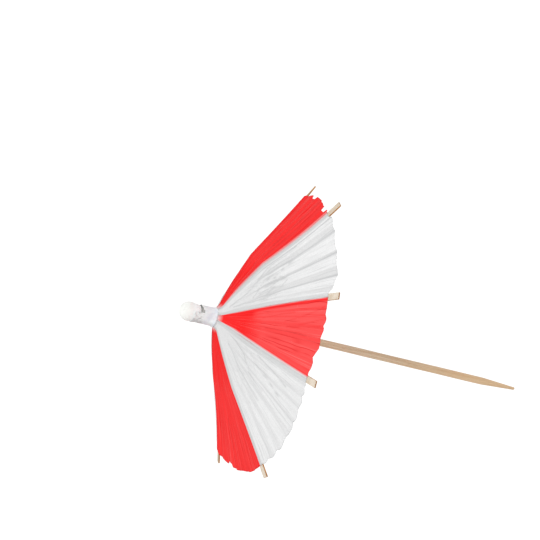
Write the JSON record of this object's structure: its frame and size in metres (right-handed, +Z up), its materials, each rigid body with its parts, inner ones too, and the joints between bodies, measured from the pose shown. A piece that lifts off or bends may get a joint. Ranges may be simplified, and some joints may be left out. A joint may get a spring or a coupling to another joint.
{
  "type": "cocktail umbrella pick",
  "caption": "Folding paper parasol on a pointed wooden pick: pleated red and white canopy on board ribs, opened by struts on a sliding runner, with a bead finial.",
  "frame": {"origin": "on the pick's axis where its point begins, at the lower end of the round shaft", "axes": "+Z up the pick to the finial, -Y towards the front of the canopy, +X to the right seen from there"},
  "size_m": [0.0805, 0.082, 0.1],
  "materials": {
    "pick_wood": "bare",
    "bead_white": "matte",
    "neck_paper": "matte",
    "red_paper": "matte",
    "white_paper": "matte",
    "rib_board": "matte",
    "strut_card": "matte",
    "rolled_paper": "matte",
    "retainer_plastic": "satin"
  },
  "bodies": {
    "root": {"pick": "pick_wood", "finial_bead": "bead_white", "crown_core": "rolled_paper", "rib_tabs": "rib_board", "neck_wrap": "neck_paper", "spacer_sleeve": "rolled_paper"},
    "runner": {"runner_sleeve": "rolled_paper", "strut_tabs": "strut_card", "runner_band": "neck_paper"},
    "retainer": {"retainer_ring": "retainer_plastic"},
    "rib_arm_1": {"rib_1": "rib_board", "strut_foot_1": "strut_card", "panel_1_left": "red_paper", "panel_8_right": "white_paper"},
    "strut_arm_1": {"strut_1": "strut_card"},
    "rib_arm_2": {"rib_2": "rib_board", "strut_foot_2": "strut_card", "panel_2_left": "white_paper", "panel_1_right": "red_paper"},
    "strut_arm_2": {"strut_2": "strut_card"},
    "rib_arm_3": {"rib_3": "rib_board", "strut_foot_3": "strut_card", "panel_3_left": "red_paper", "panel_2_right": "white_paper"},
    "strut_arm_3": {"strut_3": "strut_card"},
    "rib_arm_4": {"rib_4": "rib_board", "strut_foot_4": "strut_card", "panel_4_left": "white_paper", "panel_3_right": "red_paper"},
    "strut_arm_4": {"strut_4": "strut_card"},
    "rib_arm_5": {"rib_5": "rib_board", "strut_foot_5": "strut_card", "panel_5_left": "red_paper", "panel_4_right": "white_paper"},
    "strut_arm_5": {"strut_5": "strut_card"},
    "rib_arm_6": {"rib_6": "rib_board", "strut_foot_6": "strut_card", "panel_6_left": "white_paper", "panel_5_right": "red_paper"},
    "strut_arm_6": {"strut_6": "strut_card"},
    "rib_arm_7": {"rib_7": "rib_board", "strut_foot_7": "strut_card", "panel_7_left": "red_paper", "panel_6_right": "white_paper"},
    "strut_arm_7": {"strut_7": "strut_card"},
    "rib_arm_8": {"rib_8": "rib_board", "strut_foot_8": "strut_card", "panel_8_left": "white_paper", "panel_7_right": "red_paper"},
    "strut_arm_8": {"strut_8": "strut_card"}
  },
  "joints": [
    {"name": "runner_slide", "type": "slide", "parent": "root", "child": "runner", "axis": [0, 0, 1], "range_m": [-0.01825, 0], "deforming": ["panel_1_left", "panel_1_right", "panel_2_left", "panel_2_right", "panel_3_left", "panel_3_right", "panel_4_left", "panel_4_right", "panel_5_left", "panel_5_right", "panel_6_left", "panel_6_right", "panel_7_left", "panel_7_right", "panel_8_left", "panel_8_right"]},
    {"name": "retainer_slide", "type": "slide", "parent": "root", "child": "retainer", "axis": [0, 0, 1], "range_m": [-0.01825, 0]},
    {"name": "rib_fold_1", "type": "hinge", "parent": "root", "child": "rib_arm_1", "pos_m": [-0.00049, -0.00197, 0.0792], "axis": [0.9703, -0.2419, 0], "range_deg": [0, 58.1]},
    {"name": "strut_fold_1", "type": "hinge", "parent": "rib_arm_1", "child": "strut_arm_1", "pos_m": [-0.00386, -0.01547, 0.07351], "axis": [0.9703, -0.2419, 0], "range_deg": [-116.2, 0]},
    {"name": "rib_fold_2", "type": "hinge", "parent": "root", "child": "rib_arm_2", "pos_m": [0.00066, -0.00192, 0.0792], "axis": [0.9455, 0.3256, 0], "range_deg": [0, 58.1]},
    {"name": "strut_fold_2", "type": "hinge", "parent": "rib_arm_2", "child": "strut_arm_2", "pos_m": [0.00519, -0.01507, 0.07351], "axis": [0.9455, 0.3256, 0], "range_deg": [-116.2, 0]},
    {"name": "rib_fold_3", "type": "hinge", "parent": "root", "child": "rib_arm_3", "pos_m": [0.0018, -0.00096, 0.0792], "axis": [0.4695, 0.8829, 0], "range_deg": [0, 58.1]},
    {"name": "strut_fold_3", "type": "hinge", "parent": "rib_arm_3", "child": "strut_arm_3", "pos_m": [0.01407, -0.00748, 0.07351], "axis": [0.4695, 0.8829, 0], "range_deg": [-116.2, 0]},
    {"name": "rib_fold_4", "type": "hinge", "parent": "root", "child": "rib_arm_4", "pos_m": [0.00202, 0.00025, 0.0792], "axis": [-0.1219, 0.9925, 0], "range_deg": [0, 58.1]},
    {"name": "strut_fold_4", "type": "hinge", "parent": "rib_arm_4", "child": "strut_arm_4", "pos_m": [0.01582, 0.00194, 0.07351], "axis": [-0.1219, 0.9925, 0], "range_deg": [-116.2, 0]},
    {"name": "rib_fold_5", "type": "hinge", "parent": "root", "child": "rib_arm_5", "pos_m": [0.00053, 0.00197, 0.0792], "axis": [-0.9659, 0.2588, 0], "range_deg": [0, 58.1]},
    {"name": "strut_fold_5", "type": "hinge", "parent": "rib_arm_5", "child": "strut_arm_5", "pos_m": [0.00413, 0.0154, 0.07351], "axis": [-0.9659, 0.2588, 0], "range_deg": [-116.2, 0]},
    {"name": "rib_fold_6", "type": "hinge", "parent": "root", "child": "rib_arm_6", "pos_m": [-0.00086, 0.00184, 0.0792], "axis": [-0.9063, -0.4226, 0], "range_deg": [0, 58.1]},
    {"name": "strut_fold_6", "type": "hinge", "parent": "rib_arm_6", "child": "strut_arm_6", "pos_m": [-0.00674, 0.01445, 0.07351], "axis": [-0.9063, -0.4226, 0], "range_deg": [-116.2, 0]},
    {"name": "rib_fold_7", "type": "hinge", "parent": "root", "child": "rib_arm_7", "pos_m": [-0.00184, 0.00086, 0.0792], "axis": [-0.4226, -0.9063, 0], "range_deg": [0, 58.1]},
    {"name": "strut_fold_7", "type": "hinge", "parent": "rib_arm_7", "child": "strut_arm_7", "pos_m": [-0.01445, 0.00674, 0.07351], "axis": [-0.4226, -0.9063, 0], "range_deg": [-116.2, 0]},
    {"name": "rib_fold_8", "type": "hinge", "parent": "root", "child": "rib_arm_8", "pos_m": [-0.00184, -0.00086, 0.0792], "axis": [0.4226, -0.9063, 0], "range_deg": [0, 58.1]},
    {"name": "strut_fold_8", "type": "hinge", "parent": "rib_arm_8", "child": "strut_arm_8", "pos_m": [-0.01445, -0.00674, 0.07351], "axis": [0.4226, -0.9063, 0], "range_deg": [-116.2, 0]}
  ],
  "couplings": [
    {"joint": "retainer_slide", "follows": "runner_slide", "ratio": 1},
    {"joint": "rib_fold_1", "follows": "runner_slide", "rad_per_m": -55.576},
    {"joint": "strut_fold_1", "follows": "runner_slide", "rad_per_m": 111.15},
    {"joint": "rib_fold_2", "follows": "runner_slide", "rad_per_m": -55.576},
    {"joint": "strut_fold_2", "follows": "runner_slide", "rad_per_m": 111.15},
    {"joint": "rib_fold_3", "follows": "runner_slide", "rad_per_m": -55.576},
    {"joint": "strut_fold_3", "follows": "runner_slide", "rad_per_m": 111.15},
    {"joint": "rib_fold_4", "follows": "runner_slide", "rad_per_m": -55.576},
    {"joint": "strut_fold_4", "follows": "runner_slide", "rad_per_m": 111.15},
    {"joint": "rib_fold_5", "follows": "runner_slide", "rad_per_m": -55.576},
    {"joint": "strut_fold_5", "follows": "runner_slide", "rad_per_m": 111.15},
    {"joint": "rib_fold_6", "follows": "runner_slide", "rad_per_m": -55.576},
    {"joint": "strut_fold_6", "follows": "runner_slide", "rad_per_m": 111.15},
    {"joint": "rib_fold_7", "follows": "runner_slide", "rad_per_m": -55.576},
    {"joint": "strut_fold_7", "follows": "runner_slide", "rad_per_m": 111.15},
    {"joint": "rib_fold_8", "follows": "runner_slide", "rad_per_m": -55.576},
    {"joint": "strut_fold_8", "follows": "runner_slide", "rad_per_m": 111.15}
  ]
}
